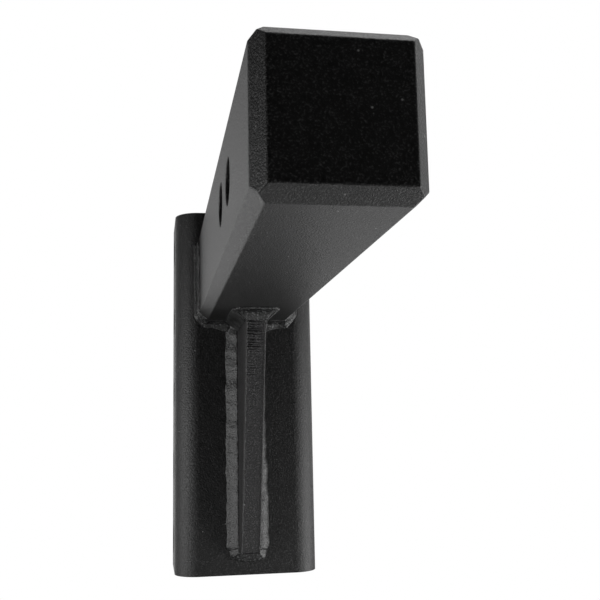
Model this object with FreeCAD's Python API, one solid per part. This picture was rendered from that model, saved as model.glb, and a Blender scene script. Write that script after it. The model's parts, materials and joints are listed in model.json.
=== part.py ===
import FreeCAD, Part
import math
import os

# Adjustable shank of a receiver hitch. A solid square bar is butt welded to the web of an upright
# steel channel, and a tapered gusset plate braces it from below. Each weld pass is a solid of its own.
#
# Millimetres. The origin is the centre of the pin hole nearest the bar's tip. +X runs along that hole,
# +Y runs along the bar from its tip to the channel, and +Z is up.

Vector = FreeCAD.Vector
X_AXIS = Vector(1, 0, 0)
Y_AXIS = Vector(0, 1, 0)
Z_AXIS = Vector(0, 0, 1)

# Square bar
BAR_SIDE = 50.8
BAR_LENGTH = 252.0
BAR_EDGE_CHAMFER = 4.4
TIP_CHAMFER_SIDEWAYS = 4.4
TIP_CHAMFER_ALONG = 5.6
PIN_HOLE_RADIUS = 8.5
PIN_HOLE_FROM_TIP = 71.0
PIN_HOLE_PITCH = 31.0
PIN_HOLE_COUNT = 2

# Channel, standing upright with its web towards the bar
CHANNEL_WIDTH = 76.2
CHANNEL_DEPTH = 50.8
CHANNEL_WALL = 6.35
CHANNEL_BEND_RADIUS = 12.7
CHANNEL_HEIGHT = 195.6
CHANNEL_RISE_ABOVE_BAR = 10.2
BOLT_HOLE_RADIUS = 8.15
BOLT_HOLE_COUNT = 5
BOLT_HOLE_PITCH = 41.0
BOLT_HOLE_FROM_WEB = 36.0

# Gusset plate: its reach is measured from the web
GUSSET_THICKNESS = 10.0
GUSSET_REACH_TOP = 51.5
GUSSET_REACH_BOTTOM = 13.5
GUSSET_HEIGHT = 122.6

# Welds. A leg is the distance from the root to a toe, and a toe stands proud by a small step.
TOE_STEP = 0.3
BAR_WELD_LEG_ALONG_BAR = 6.0
BAR_WELD_LEG_SIDE = 3.2
BAR_WELD_LEG_BOTTOM = 5.0
BAR_WELD_SIDE_TOP = 19.5
BAR_WELD_TOP_HALF_LENGTH = 20.0
SEAT_WELD_LEG_ACROSS = 7.0
SEAT_WELD_LEG_NOSE = 5.0
SEAT_WELD_LEG_DOWN = 6.0
SEAT_WELD_CORNER_RADIUS = 5.0
BRACE_WELD_LEG_WEB = 6.4
BRACE_WELD_LEG_GUSSET = 4.4
BRACE_WELD_END_ABOVE_TOE = 1.5
TOE_WELD_LEG_ACROSS = 4.0
TOE_WELD_LEG_DOWN = 5.5
TOE_WELD_LEG_GUSSET = 4.0
TOE_WELD_CORNER_RADIUS = 5.0

# Worked out from the sizes above
HALF_BAR = BAR_SIDE / 2
HALF_WIDTH = CHANNEL_WIDTH / 2
HALF_GUSSET = GUSSET_THICKNESS / 2
TIP_Y = -PIN_HOLE_FROM_TIP
WEB_Y = TIP_Y + BAR_LENGTH
CHANNEL_TOP = HALF_BAR + CHANNEL_RISE_ABOVE_BAR
CHANNEL_BOTTOM = CHANNEL_TOP - CHANNEL_HEIGHT
GUSSET_BOTTOM = -HALF_BAR - GUSSET_HEIGHT
CUTTER = 400.0


def closed_face(points):
    """Flat face through the points in order."""
    return Part.Face(Part.makePolygon(points + [points[0]]))


def box_between(low, high):
    """Box between two corners."""
    size = high - low
    return Part.makeBox(size.x, size.y, size.z, low)


def cross_hole(radius, y, z):
    """Round cutter along X, long enough to cross the whole part."""
    return Part.makeCylinder(radius, CUTTER, Vector(-CUTTER / 2, y, z), X_AXIS)


def chamfered_outline(y, left_right, top, bottom, chamfer):
    """Closed wire across the bar at y: a rectangle with its four corners cut at 45 degrees."""
    corners = [
        (left_right, top - chamfer),
        (left_right - chamfer, top),
        (-left_right + chamfer, top),
        (-left_right, top - chamfer),
        (-left_right, -bottom + chamfer),
        (-left_right + chamfer, -bottom),
        (left_right - chamfer, -bottom),
        (left_right, -bottom + chamfer),
    ]
    points = [Vector(x, y, z) for x, z in corners]
    return Part.makePolygon(points + [points[0]])


def shank_bar():
    """Square bar with chamfered long edges, a chamfered tip and two cross pin holes."""
    outline = chamfered_outline(TIP_Y, HALF_BAR, HALF_BAR, HALF_BAR, BAR_EDGE_CHAMFER)
    bar = Part.Face(outline).extrude(Y_AXIS * BAR_LENGTH)
    tip_half = HALF_BAR - TIP_CHAMFER_SIDEWAYS
    stations = ((TIP_Y, tip_half), (TIP_Y + TIP_CHAMFER_ALONG, HALF_BAR), (WEB_Y, HALF_BAR))
    squares = []
    for y, half in stations:
        corners = [Vector(x, y, z) for x, z in ((-half, -half), (half, -half), (half, half), (-half, half))]
        squares.append(Part.makePolygon(corners + [corners[0]]))
    bar = bar.common(Part.makeLoft(squares, True, True))
    for number in range(PIN_HOLE_COUNT):
        bar = bar.cut(cross_hole(PIN_HOLE_RADIUS, number * PIN_HOLE_PITCH, 0))
    return bar


def bolt_hole_heights():
    """Heights of the bolt holes, from the top one down, centred on the channel's height."""
    middle = (CHANNEL_TOP + CHANNEL_BOTTOM) / 2
    first = middle + BOLT_HOLE_PITCH * (BOLT_HOLE_COUNT - 1) / 2
    return [first - number * BOLT_HOLE_PITCH for number in range(BOLT_HOLE_COUNT)]


def bend(centre_x, radius, from_degrees, to_degrees):
    """Quarter-turn edge of a channel bend, in the plane of the channel's bottom end."""
    centre = Vector(centre_x, WEB_Y + CHANNEL_BEND_RADIUS, CHANNEL_BOTTOM)
    points = []
    for degrees in (from_degrees, (from_degrees + to_degrees) / 2, to_degrees):
        turn = math.radians(degrees)
        points.append(centre + Vector(math.cos(turn), math.sin(turn), 0) * radius)
    return Part.Arc(*points).toShape()


def channel():
    """Upright U-shaped channel, open at the back, with a row of bolt holes across both flanges."""
    bend_x = HALF_WIDTH - CHANNEL_BEND_RADIUS
    inner_radius = CHANNEL_BEND_RADIUS - CHANNEL_WALL
    bends = [
        bend(-bend_x, CHANNEL_BEND_RADIUS, 180, 270),
        bend(bend_x, CHANNEL_BEND_RADIUS, 270, 360),
        bend(bend_x, inner_radius, 360, 270),
        bend(-bend_x, inner_radius, 270, 180),
    ]
    ends = [(edge.valueAt(edge.FirstParameter), edge.valueAt(edge.LastParameter)) for edge in bends]
    back_y = WEB_Y + CHANNEL_DEPTH
    inner_x = HALF_WIDTH - CHANNEL_WALL
    back = [Vector(x, back_y, CHANNEL_BOTTOM) for x in (HALF_WIDTH, inner_x, -inner_x, -HALF_WIDTH)]
    edges = [
        bends[0],
        Part.makeLine(ends[0][1], ends[1][0]),
        bends[1],
        Part.makeLine(ends[1][1], back[0]),
        Part.makeLine(back[0], back[1]),
        Part.makeLine(back[1], ends[2][0]),
        bends[2],
        Part.makeLine(ends[2][1], ends[3][0]),
        bends[3],
        Part.makeLine(ends[3][1], back[2]),
        Part.makeLine(back[2], back[3]),
        Part.makeLine(back[3], ends[0][0]),
    ]
    solid = Part.Face(Part.Wire(edges)).extrude(Z_AXIS * CHANNEL_HEIGHT)
    for z in bolt_hole_heights():
        solid = solid.cut(cross_hole(BOLT_HOLE_RADIUS, WEB_Y + BOLT_HOLE_FROM_WEB, z))
    return solid


def gusset_reach(z):
    """Distance from the web to the gusset's front edge at height z."""
    share = (-HALF_BAR - z) / GUSSET_HEIGHT
    return GUSSET_REACH_TOP + (GUSSET_REACH_BOTTOM - GUSSET_REACH_TOP) * share


def gusset_plate():
    """Tapered plate, seated against the bar's underside and the channel's web."""
    side = closed_face([
        Vector(-HALF_GUSSET, WEB_Y, -HALF_BAR),
        Vector(-HALF_GUSSET, WEB_Y - GUSSET_REACH_TOP, -HALF_BAR),
        Vector(-HALF_GUSSET, WEB_Y - GUSSET_REACH_BOTTOM, GUSSET_BOTTOM),
        Vector(-HALF_GUSSET, WEB_Y, GUSSET_BOTTOM),
    ])
    return side.extrude(X_AXIS * GUSSET_THICKNESS)


def bar_weld_outline(y, share):
    """Outline round the bar at y, spread outwards by the given share of the legs on the web."""
    side = TOE_STEP + (BAR_WELD_LEG_SIDE - TOE_STEP) * share
    bottom = TOE_STEP + (BAR_WELD_LEG_BOTTOM - TOE_STEP) * share
    chamfer = BAR_EDGE_CHAMFER + side * (2 - math.sqrt(2))
    return chamfered_outline(y, HALF_BAR + side, HALF_BAR + side, HALF_BAR + bottom, chamfer)


def bar_weld_ring(bar, channel_solid, gusset):
    """Weld all round the bar where it meets the channel, following the start of the bends."""
    front = bar_weld_outline(WEB_Y - BAR_WELD_LEG_ALONG_BAR, 0)
    web = bar_weld_outline(WEB_Y, 1)
    behind = bar_weld_outline(WEB_Y + CHANNEL_WALL / 2, 1)
    ring = Part.makeLoft([front, web, behind], True, True)
    return ring.cut(channel_solid).cut(bar).cut(gusset).removeSplitter()


def side_wedge(across, up):
    """Triangular prism along Y that holds one side of the bar, split from the next at 45 degrees."""
    far = CUTTER / 2
    if across:
        corners = ((0, 0), (across * far, far), (across * far, -far))
    else:
        corners = ((0, 0), (far, up * far), (-far, up * far))
    face = closed_face([Vector(x, -CUTTER / 2, z) for x, z in corners])
    return face.extrude(Y_AXIS * CUTTER)


def pass_divider():
    """Solid that holds the half of the weld nearer the bar: it widens away from the web."""
    front = bar_weld_outline(WEB_Y - BAR_WELD_LEG_ALONG_BAR, 1)
    back = chamfered_outline(WEB_Y, HALF_BAR, HALF_BAR, HALF_BAR, BAR_EDGE_CHAMFER)
    return Part.makeLoft([front, back], True, True)


def bar_welds(ring):
    """Passes of the weld round the bar: two on each open side, one each side of the gusset.

    The bar's two upper corners stay unwelded, so the passes on the sides and the top stop short of them.
    """
    divider = pass_divider()
    far = CUTTER / 2
    side_room = box_between(Vector(-far, -far, -far), Vector(far, far, BAR_WELD_SIDE_TOP))
    top_room = box_between(
        Vector(-BAR_WELD_TOP_HALF_LENGTH, -far, -far),
        Vector(BAR_WELD_TOP_HALF_LENGTH, far, far),
    )
    solids = {}
    for name, across, up, room in (
        ("left", -1, 0, side_room),
        ("right", 1, 0, side_room),
        ("top", 0, 1, top_room),
    ):
        side = ring.common(side_wedge(across, up)).common(room)
        solids[f"shank_weld_{name}_bar_pass"] = side.common(divider)
        solids[f"shank_weld_{name}_web_pass"] = side.cut(divider)
    below = ring.common(side_wedge(0, -1))
    for name, low_x in (("left", -far), ("right", 0)):
        half = box_between(Vector(low_x, -far, -far), Vector(low_x + far, far, far))
        solids[f"shank_weld_bottom_{name}"] = below.common(half)
    return solids


def nose_outline(z, half_width, nose_y, radius):
    """Closed wire at height z: a strip that starts at the web and ends in a nose with round corners."""
    turn = radius * (1 - math.sqrt(0.5))
    left = Part.Arc(
        Vector(-half_width, nose_y + radius, z),
        Vector(-half_width + turn, nose_y + turn, z),
        Vector(-half_width + radius, nose_y, z),
    )
    right = Part.Arc(
        Vector(half_width - radius, nose_y, z),
        Vector(half_width - turn, nose_y + turn, z),
        Vector(half_width, nose_y + radius, z),
    )
    return Part.Wire([
        Part.makeLine(Vector(-half_width, WEB_Y, z), left.StartPoint),
        left.toShape(),
        Part.makeLine(left.EndPoint, right.StartPoint),
        right.toShape(),
        Part.makeLine(right.EndPoint, Vector(half_width, WEB_Y, z)),
        Part.makeLine(Vector(half_width, WEB_Y, z), Vector(-half_width, WEB_Y, z)),
    ])


def seat_welds(gusset, ring, brace_collar):
    """Fillets between the gusset and the bar's underside: one each side, and one round the nose."""
    low_z = -HALF_BAR - SEAT_WELD_LEG_DOWN
    top = nose_outline(
        -HALF_BAR,
        HALF_GUSSET + SEAT_WELD_LEG_ACROSS,
        WEB_Y - GUSSET_REACH_TOP - SEAT_WELD_LEG_NOSE,
        SEAT_WELD_CORNER_RADIUS,
    )
    bottom = nose_outline(low_z, HALF_GUSSET + TOE_STEP, WEB_Y - gusset_reach(low_z) - TOE_STEP, TOE_STEP)
    collar = Part.makeLoft([bottom, top], True, True).cut(gusset).cut(ring).cut(brace_collar)
    nose_start = WEB_Y - gusset_reach(low_z)
    nose_room = box_between(
        Vector(-HALF_WIDTH, nose_start - CUTTER, -CUTTER / 2),
        Vector(HALF_WIDTH, nose_start, CUTTER / 2),
    )
    left_room = box_between(Vector(-HALF_WIDTH, nose_start, -CUTTER / 2), Vector(0, WEB_Y, CUTTER / 2))
    right_room = box_between(Vector(0, nose_start, -CUTTER / 2), Vector(HALF_WIDTH, WEB_Y, CUTTER / 2))
    return {
        "gusset_nose_weld": collar.common(nose_room),
        "gusset_seat_weld_left": collar.common(left_room),
        "gusset_seat_weld_right": collar.common(right_room),
    }


def brace_weld_collar(ring):
    """Both fillets between the gusset's sides and the web, before they are split."""
    end_z = GUSSET_BOTTOM + BRACE_WELD_END_ABOVE_TOE
    front_y = WEB_Y - BRACE_WELD_LEG_GUSSET
    toe_x = HALF_GUSSET + BRACE_WELD_LEG_WEB
    step_x = HALF_GUSSET + TOE_STEP
    section = closed_face([
        Vector(-toe_x, WEB_Y, end_z),
        Vector(-step_x, front_y, end_z),
        Vector(step_x, front_y, end_z),
        Vector(toe_x, WEB_Y, end_z),
    ])
    return section.extrude(Z_AXIS * (-HALF_BAR - end_z)).cut(ring)


def brace_welds(gusset, collar):
    """Vertical fillets between the gusset and the channel's web, one each side."""
    fillets = collar.cut(gusset)
    left, right = sorted(fillets.Solids, key=lambda solid: solid.CenterOfMass.x)
    return {"gusset_web_weld_left": left, "gusset_web_weld_right": right}


def toe_outline(y, half_width, bottom, radius):
    """Closed wire at y: a strip that ends at the bottom in round corners."""
    top = GUSSET_BOTTOM + BRACE_WELD_END_ABOVE_TOE
    turn = radius * (1 - math.sqrt(0.5))
    right = Part.Arc(
        Vector(half_width, y, bottom + radius),
        Vector(half_width - turn, y, bottom + turn),
        Vector(half_width - radius, y, bottom),
    )
    left = Part.Arc(
        Vector(-half_width + radius, y, bottom),
        Vector(-half_width + turn, y, bottom + turn),
        Vector(-half_width, y, bottom + radius),
    )
    return Part.Wire([
        Part.makeLine(Vector(-half_width, y, top), Vector(half_width, y, top)),
        Part.makeLine(Vector(half_width, y, top), right.StartPoint),
        right.toShape(),
        Part.makeLine(right.EndPoint, left.StartPoint),
        left.toShape(),
        Part.makeLine(left.EndPoint, Vector(-half_width, y, top)),
    ])


def gusset_toe_weld(gusset):
    """Small bead that wraps the gusset's bottom end against the web."""
    web = toe_outline(
        WEB_Y,
        HALF_GUSSET + TOE_WELD_LEG_ACROSS,
        GUSSET_BOTTOM - TOE_WELD_LEG_DOWN,
        TOE_WELD_CORNER_RADIUS,
    )
    front = toe_outline(
        WEB_Y - TOE_WELD_LEG_GUSSET,
        HALF_GUSSET + TOE_STEP,
        GUSSET_BOTTOM - TOE_STEP,
        TOE_STEP,
    )
    return Part.makeLoft([front, web], True, True).cut(gusset)


def build():
    """Every sub-part by name."""
    bar = shank_bar()
    channel_solid = channel()
    gusset = gusset_plate()
    ring = bar_weld_ring(bar, channel_solid, gusset)
    collar = brace_weld_collar(ring)
    solids = {"shank_bar": bar, "channel": channel_solid, "gusset_plate": gusset}
    solids.update(bar_welds(ring))
    solids.update(seat_welds(gusset, ring, collar))
    solids.update(brace_welds(gusset, collar))
    solids["gusset_toe_weld"] = gusset_toe_weld(gusset)
    return solids


os.makedirs("parts", exist_ok=True)
for node, shape in build().items():
    if len(shape.Solids) != 1 or not shape.isValid():
        raise ValueError(f"{node} is not one valid solid")
    shape.Solids[0].exportStep(f"parts/{node}.step")
    print(f"{node}: {shape.Volume / 1000:.2f} cm3")
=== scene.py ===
"""Looks of an adjustable hitch shank: black powder-coated bar, channel, gusset and weld beads.

Everything is in metres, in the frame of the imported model: +X along the pin holes, +Y along the bar
from its tip to the channel, +Z up, with the origin at the centre of the front pin hole.
"""
import json
import logging
import math
from collections.abc import Callable
from dataclasses import dataclass, field
from enum import Enum
from functools import partial

import bmesh
import bpy
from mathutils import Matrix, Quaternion, Vector, noise


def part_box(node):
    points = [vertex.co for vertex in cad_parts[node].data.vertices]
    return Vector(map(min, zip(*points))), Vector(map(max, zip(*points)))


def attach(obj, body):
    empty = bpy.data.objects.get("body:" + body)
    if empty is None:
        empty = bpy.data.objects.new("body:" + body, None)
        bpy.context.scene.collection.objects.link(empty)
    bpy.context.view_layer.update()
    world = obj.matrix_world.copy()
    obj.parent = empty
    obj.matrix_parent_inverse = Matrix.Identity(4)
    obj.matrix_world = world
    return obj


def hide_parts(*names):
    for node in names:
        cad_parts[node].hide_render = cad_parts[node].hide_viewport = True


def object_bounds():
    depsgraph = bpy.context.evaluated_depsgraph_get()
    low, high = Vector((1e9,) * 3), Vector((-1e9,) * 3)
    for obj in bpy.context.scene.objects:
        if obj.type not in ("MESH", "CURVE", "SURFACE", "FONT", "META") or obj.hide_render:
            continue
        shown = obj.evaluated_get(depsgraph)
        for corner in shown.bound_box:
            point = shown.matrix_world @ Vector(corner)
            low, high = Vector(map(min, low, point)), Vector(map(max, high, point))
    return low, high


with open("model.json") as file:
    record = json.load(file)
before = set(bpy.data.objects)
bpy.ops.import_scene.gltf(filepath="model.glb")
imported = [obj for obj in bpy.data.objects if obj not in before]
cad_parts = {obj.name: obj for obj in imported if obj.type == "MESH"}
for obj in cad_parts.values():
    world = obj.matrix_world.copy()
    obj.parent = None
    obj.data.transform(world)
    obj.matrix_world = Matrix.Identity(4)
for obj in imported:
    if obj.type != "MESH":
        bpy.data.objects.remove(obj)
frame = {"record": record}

MM = 0.001
BODY = "root"
CAD_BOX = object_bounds()
MOUNTS = {mount["name"]: mount for mount in frame["record"]["mounts"]}
MERGE_DISTANCE = 0.0005 * MM
# A direction of length 1 lies along an axis when its share along that axis is more than this.
ALONG = 0.9
# The noise seldom leaves -0.6 to 0.6, and this stretches it to about -1 to 1.
NOISE_STRETCH = 1.6
# Takes a line with a whole number as its seed off the noise's own grid, where the noise is 0.
OFF_GRID = 0.37
WHITE = (1.0, 1.0, 1.0, 1.0)
LOG = logging.getLogger("hitch_shank")


class Slot(Enum):
    """Material slots of the record, one for the plates and one for the welds."""

    PLATE = "powder_coat_plate"
    WELD = "powder_coat_weld"


class MeshPart(Enum):
    """What a selection is made of, by Blender's own names."""

    FACE = "FACE"
    EDGE = "EDGE"


class BeadEnd(Enum):
    """How a pass of weld metal stops."""

    ROUNDED = "rounded"
    BURIED = "buried"


class Lane(Enum):
    """Which of two passes side by side."""

    WEB = "web"
    BAR = "bar"


def smooth_step(low: float, high: float, value: float) -> float:
    """Rise smoothly from 0 to 1 between two values.

    Args:
        low: Value where the rise starts.
        high: Value where it ends, which is the smaller one where the curve falls instead.
        value: Where to read the curve.

    Returns:
        The height of the curve, from 0 to 1.
    """
    share = min(1.0, max(0.0, (value - low) / (high - low)))
    return share * share * (3 - 2 * share)


def wander(distance: float, scale: float, seed: float) -> float:
    """Smooth repeatable wandering along a line.

    Args:
        distance: How far along the line, in metres.
        scale: Size of one swing, in metres.
        seed: Number that sets this line apart from others.

    Returns:
        A value of about -1 to 1.
    """
    return noise.noise(Vector((distance / scale, seed, seed * OFF_GRID))) * NOISE_STRETCH


@dataclass
class Workpiece:
    """One piece on the bench: a mesh object shaped with Blender's own operators.

    Args:
        body: The mesh object.
    """

    body: bpy.types.Object

    ROUNDING_SEGMENTS = 3
    ROUNDED_FROM = math.radians(30)
    GENTLE_BEND = 40

    @classmethod
    def adopt(cls, name: str) -> "Workpiece":
        """Take the primitive that was just added and put its place into its mesh.

        Args:
            name: Name for the piece.

        Returns:
            The piece, active and alone in being selected.
        """
        body = bpy.context.object
        body.name = name
        body.data.name = name
        bpy.ops.object.transform_apply(location=True, rotation=True, scale=True)
        return cls(body)

    @classmethod
    def block(cls, name: str, low: Vector, high: Vector) -> "Workpiece":
        """Saw a block of steel between two corners.

        Args:
            name: Name for the piece.
            low: Lowest corner.
            high: Highest corner.

        Returns:
            The block.
        """
        clear_selection()
        bpy.ops.mesh.primitive_cube_add(size=1, location=(low + high) / 2)
        bpy.context.object.scale = high - low
        return cls.adopt(name)

    @classmethod
    def sheet(cls, name: str, columns: int, rows: int) -> "Workpiece":
        """Lay out a flat square sheet of small faces, one metre across.

        Args:
            name: Name for the piece.
            columns: Faces along X.
            rows: Faces along Y.

        Returns:
            The sheet.
        """
        clear_selection()
        bpy.ops.mesh.primitive_grid_add(x_subdivisions=columns, y_subdivisions=rows, size=1)
        return cls.adopt(name)

    def activate(self) -> None:
        """Make this the only selected object."""
        clear_selection()
        self.body.select_set(True)
        bpy.context.view_layer.objects.active = self.body

    def select(self, parts: MeshPart, wanted: Callable[[Vector, Vector], bool]) -> None:
        """Enter edit mode with some of the piece selected.

        Args:
            parts: What to select.
            wanted: Test of a part's middle and of its normal, or an edge's direction.
        """
        self.activate()
        bpy.ops.object.mode_set(mode="EDIT")
        bpy.ops.mesh.select_mode(type=parts.value)
        bpy.ops.mesh.select_all(action="DESELECT")
        mesh = bmesh.from_edit_mesh(self.body.data)
        if parts is MeshPart.FACE:
            for face in mesh.faces:
                face.select_set(wanted(face.calc_center_median(), face.normal))
        else:
            for edge in mesh.edges:
                start, end = (corner.co for corner in edge.verts)
                edge.select_set(wanted((start + end) / 2, (end - start).normalized()))
        bmesh.update_edit_mesh(self.body.data)

    def select_all(self) -> None:
        """Enter edit mode with the whole piece selected."""
        self.activate()
        bpy.ops.object.mode_set(mode="EDIT")
        bpy.ops.mesh.select_all(action="SELECT")

    def bevel_selected(self, width: float, segments: int) -> None:
        """Cut or round the selected edges, and leave edit mode.

        Args:
            width: Distance that each face loses.
            segments: Faces across the cut: 1 is a flat chamfer.
        """
        bpy.ops.mesh.bevel(offset=width, segments=segments, affect="EDGES")
        bpy.ops.object.mode_set(mode="OBJECT")

    def saw(self, point: Vector, outward: Vector) -> None:
        """Saw along a plane and throw away what lies outside it.

        Args:
            point: A point of the plane.
            outward: The plane's normal, towards what is thrown away.
        """
        self.select_all()
        bpy.ops.mesh.bisect(plane_co=point, plane_no=outward, use_fill=True, clear_outer=True)
        bpy.ops.object.mode_set(mode="OBJECT")

    def drill_bores(self, prefix: str, length: float, facets: int) -> None:
        """Drill the round holes of the record's bore mounts along X.

        Args:
            prefix: How the names of the holes' mounts begin.
            length: How long the drill is.
            facets: Sides of each hole.
        """
        for name, mount in MOUNTS.items():
            if not name.startswith(prefix):
                continue
            clear_selection()
            bpy.ops.mesh.primitive_cylinder_add(
                vertices=facets,
                radius=mount["dims"]["r_mm"] * MM,
                depth=length,
                location=mount["pos_m"],
                rotation=(0, math.pi / 2, 0),
            )
            cutter = bpy.context.object
            self.finish_with("BOOLEAN", operation="DIFFERENCE", solver="EXACT", object=cutter)
            bpy.data.objects.remove(cutter)

    def finish_with(self, kind: str, **settings: object) -> None:
        """Add a modifier and apply it at once.

        Args:
            kind: The modifier's type.
            settings: Its settings by name.
        """
        self.activate()
        modifier = self.body.modifiers.new(kind.lower(), kind)
        for setting, value in settings.items():
            setattr(modifier, setting, value)
        bpy.ops.object.modifier_apply(modifier=modifier.name)

    def soften_edges(self, radius: float) -> None:
        """Round every sharp edge as the coat does, and shade the piece.

        Args:
            radius: Width of the rounding.
        """
        self.finish_with(
            "BEVEL",
            width=radius,
            segments=self.ROUNDING_SEGMENTS,
            limit_method="ANGLE",
            angle_limit=self.ROUNDED_FROM,
            miter_outer="MITER_ARC",
        )
        self.shade_gentle_bends(self.GENTLE_BEND)

    def shade_gentle_bends(self, degrees: float) -> None:
        """Shade gentle bends smoothly, and keep the flats flat.

        Args:
            degrees: Angle between two faces up to which a bend is gentle.
        """
        self.activate()
        bpy.ops.object.shade_smooth_by_angle(angle=math.radians(degrees))
        self.finish_with("WEIGHTED_NORMAL", keep_sharp=True)

    def push(self, place: Callable[[Vector], Vector]) -> None:
        """Move every point of the piece.

        Args:
            place: Gives a point's new place from its old one.
        """
        for corner in self.body.data.vertices:
            corner.co = place(corner.co)
        self.body.data.update()

    def close(self) -> None:
        """Join doubled points, fill open ends, turn the faces outwards and smooth them."""
        self.select_all()
        bpy.ops.mesh.remove_doubles(threshold=MERGE_DISTANCE)
        bpy.ops.mesh.select_mode(type="EDGE")
        bpy.ops.mesh.select_all(action="DESELECT")
        bpy.ops.mesh.select_non_manifold(extend=False)
        bpy.ops.mesh.edge_face_add()
        bpy.ops.mesh.select_all(action="SELECT")
        bpy.ops.mesh.normals_make_consistent(inside=False)
        bpy.ops.object.mode_set(mode="OBJECT")
        bpy.ops.object.shade_smooth()

    def hand_over(self, node: str, slot: Slot, finish: bpy.types.Material) -> None:
        """Dress the finished piece and let it stand for its node.

        Args:
            node: The node that the piece replaces.
            slot: The record's slot that the finish belongs to; not used.
            finish: The piece's material.
        """
        self.body.data.materials.clear()
        self.body.data.materials.append(finish)
        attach(self.body, BODY)
        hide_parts(node)
        LOG.info("%s: %d faces", self.body.name, len(self.body.data.polygons))


def clear_selection() -> None:
    """Leave edit mode and select nothing."""
    if bpy.context.object and bpy.context.object.mode != "OBJECT":
        bpy.ops.object.mode_set(mode="OBJECT")
    bpy.ops.object.select_all(action="DESELECT")


def linear(colour: str) -> tuple[float, float, float, float]:
    """Turn an sRGB colour into a shader's linear one.

    Args:
        colour: Hex digits, as in "#1b1b1c".

    Returns:
        Linear red, green and blue, and an alpha of 1.
    """
    channels = []
    for start in (1, 3, 5):
        value = int(colour[start:start + 2], 16) / 255
        channels.append(value / 12.92 if value <= 0.04045 else ((value + 0.055) / 1.055) ** 2.4)
    return (*channels, 1.0)


def add_node(
    tree: bpy.types.NodeTree,
    kind: str,
    settings: dict[str, object] | None = None,
    inputs: dict[str | int, object] | None = None,
) -> bpy.types.Node:
    """Add a node with its settings and its inputs.

    Args:
        tree: Where the node goes.
        kind: The node's type.
        settings: The node's own properties by name.
        inputs: Sockets by name or number, each with a value or with the socket that feeds it.

    Returns:
        The node.
    """
    node = tree.nodes.new(kind)
    for name, value in (settings or {}).items():
        setattr(node, name, value)
    for name, value in (inputs or {}).items():
        if isinstance(value, bpy.types.NodeSocket):
            tree.links.new(value, node.inputs[name])
        else:
            node.inputs[name].default_value = value
    return node


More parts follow.
